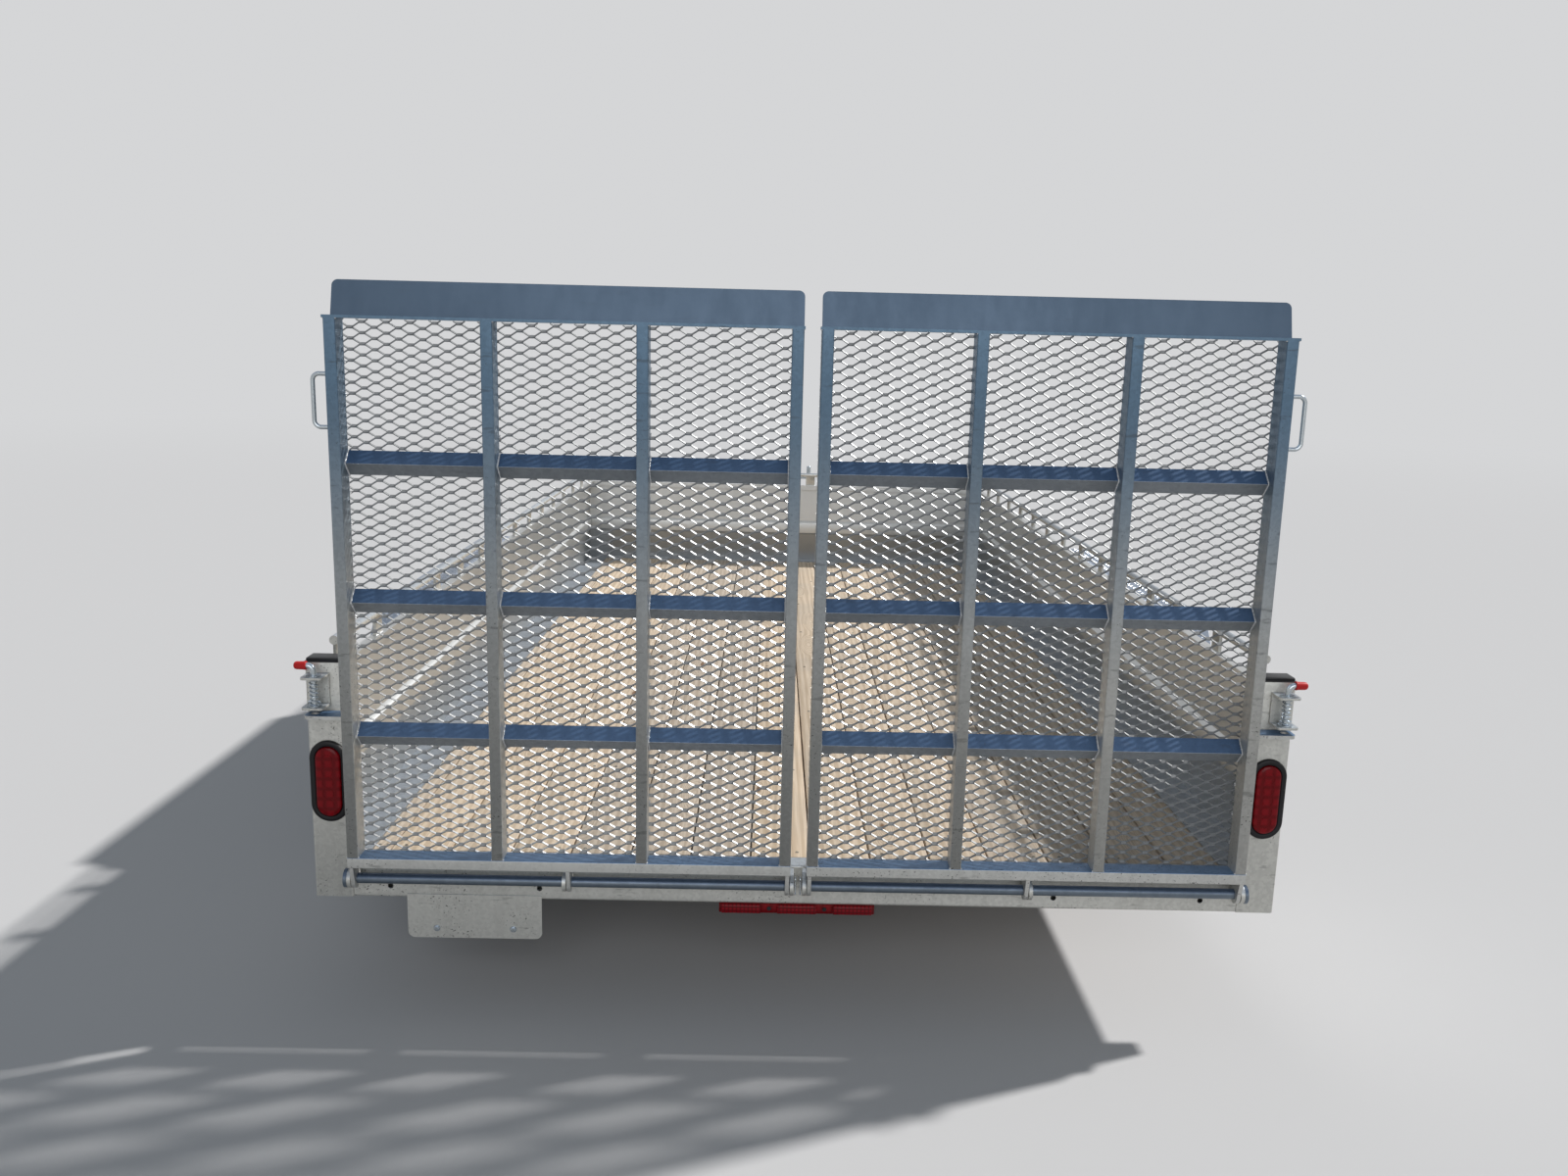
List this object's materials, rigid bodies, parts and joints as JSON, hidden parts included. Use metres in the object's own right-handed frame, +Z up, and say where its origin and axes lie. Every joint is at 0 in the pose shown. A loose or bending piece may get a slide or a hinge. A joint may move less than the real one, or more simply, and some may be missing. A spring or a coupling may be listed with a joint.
{
  "type": "utility trailer",
  "caption": "Galvanised tandem utility trailer: boarded deck, sheet walls with tie rails, side-by-side mesh ramp gates, angular fenders and a tongue jack.",
  "frame": {"origin": "on the ground under the middle of the overall length and width", "axes": "+Z up, +Y to the towing end, +X to the right seen from behind"},
  "size_m": [2.642, 5.611, 1.6886],
  "materials": {
    "galvanised": "hot-dip galvanised, matt grey with a faint spangle",
    "galvanised_sheet": "galvanised sheet, dull and even",
    "zinc_plate": "bright zinc plate",
    "deck_wood": "sawn pine boards, pale and dry",
    "tyre": "black rubber",
    "wheel_steel": "galvanised wheel",
    "red_lens": "clear red plastic",
    "black_rubber": "black rubber and plastic",
    "red_grip": "dipped red vinyl"
  },
  "bodies": {
    "root": {"side_rails": "galvanised", "front_sill": "galvanised", "rear_sill": "galvanised", "cross_members": "galvanised", "deck_boards": "deck_wood", "wall_right": "galvanised_sheet", "wall_left": "galvanised_sheet", "wall_front": "galvanised_sheet", "tie_rail_right": "galvanised", "tie_rail_left": "galvanised", "tie_rail_front": "galvanised", "rear_post_right": "galvanised", "rear_post_left": "galvanised", "post_caps": "black_rubber", "tail_lamp_flanges": "black_rubber", "tail_lamp_lenses": "red_lens", "plate_bracket": "galvanised", "marker_light_bar": "red_lens", "hinge_lugs_frame": "galvanised", "hinge_rods": "zinc_plate", "latch_brackets": "zinc_plate", "latch_pins": "zinc_plate", "latch_grips": "red_grip", "latch_springs": "zinc_plate", "axle_rear": "galvanised", "axle_front": "galvanised", "fender_right": "galvanised_sheet", "fender_left": "galvanised_sheet", "tongue_arm_right": "galvanised", "tongue_arm_left": "galvanised", "tongue_gusset": "galvanised", "coupler": "zinc_plate", "coupler_lever": "zinc_plate", "jack_housing": "zinc_plate", "jack_crank": "zinc_plate"},
    "gate_left": {"gate_left_frame": "galvanised", "gate_left_cross_angles": "galvanised", "gate_left_mesh": "galvanised", "gate_left_lip": "galvanised", "gate_left_hinge_lugs": "galvanised", "gate_left_handle": "galvanised", "gate_left_latch_tab": "galvanised"},
    "gate_right": {"gate_right_frame": "galvanised", "gate_right_cross_angles": "galvanised", "gate_right_mesh": "galvanised", "gate_right_lip": "galvanised", "gate_right_hinge_lugs": "galvanised", "gate_right_handle": "galvanised", "gate_right_latch_tab": "galvanised"},
    "wheel_rear_left": {"tyre_rear_left": "tyre", "wheel_rear_left": "wheel_steel"},
    "wheel_rear_right": {"tyre_rear_right": "tyre", "wheel_rear_right": "wheel_steel"},
    "wheel_front_left": {"tyre_front_left": "tyre", "wheel_front_left": "wheel_steel"},
    "wheel_front_right": {"tyre_front_right": "tyre", "wheel_front_right": "wheel_steel"},
    "jack_leg": {"jack_leg": "zinc_plate"}
  },
  "joints": [
    {"name": "gate_left_hinge", "type": "hinge", "parent": "root", "child": "gate_left", "pos_m": [0, -2.7717, 0.353], "axis": [1, 0, 0], "range_deg": [0, 104]},
    {"name": "gate_right_hinge", "type": "hinge", "parent": "root", "child": "gate_right", "pos_m": [0, -2.7717, 0.353], "axis": [1, 0, 0], "range_deg": [0, 104]},
    {"name": "wheel_rear_left_spin", "type": "hinge", "parent": "root", "child": "wheel_rear_left", "pos_m": [-1.2105, -1.2867, 0.34], "axis": [1, 0, 0], "continuous": true},
    {"name": "wheel_rear_right_spin", "type": "hinge", "parent": "root", "child": "wheel_rear_right", "pos_m": [1.2105, -1.2867, 0.34], "axis": [1, 0, 0], "continuous": true},
    {"name": "wheel_front_left_spin", "type": "hinge", "parent": "root", "child": "wheel_front_left", "pos_m": [-1.2105, -0.4367, 0.34], "axis": [1, 0, 0], "continuous": true},
    {"name": "wheel_front_right_spin", "type": "hinge", "parent": "root", "child": "wheel_front_right", "pos_m": [1.2105, -0.4367, 0.34], "axis": [1, 0, 0], "continuous": true},
    {"name": "jack_leg_slide", "type": "slide", "parent": "root", "child": "jack_leg", "axis": [0, 0, 1], "range_m": [0, 0.2]}
  ]
}
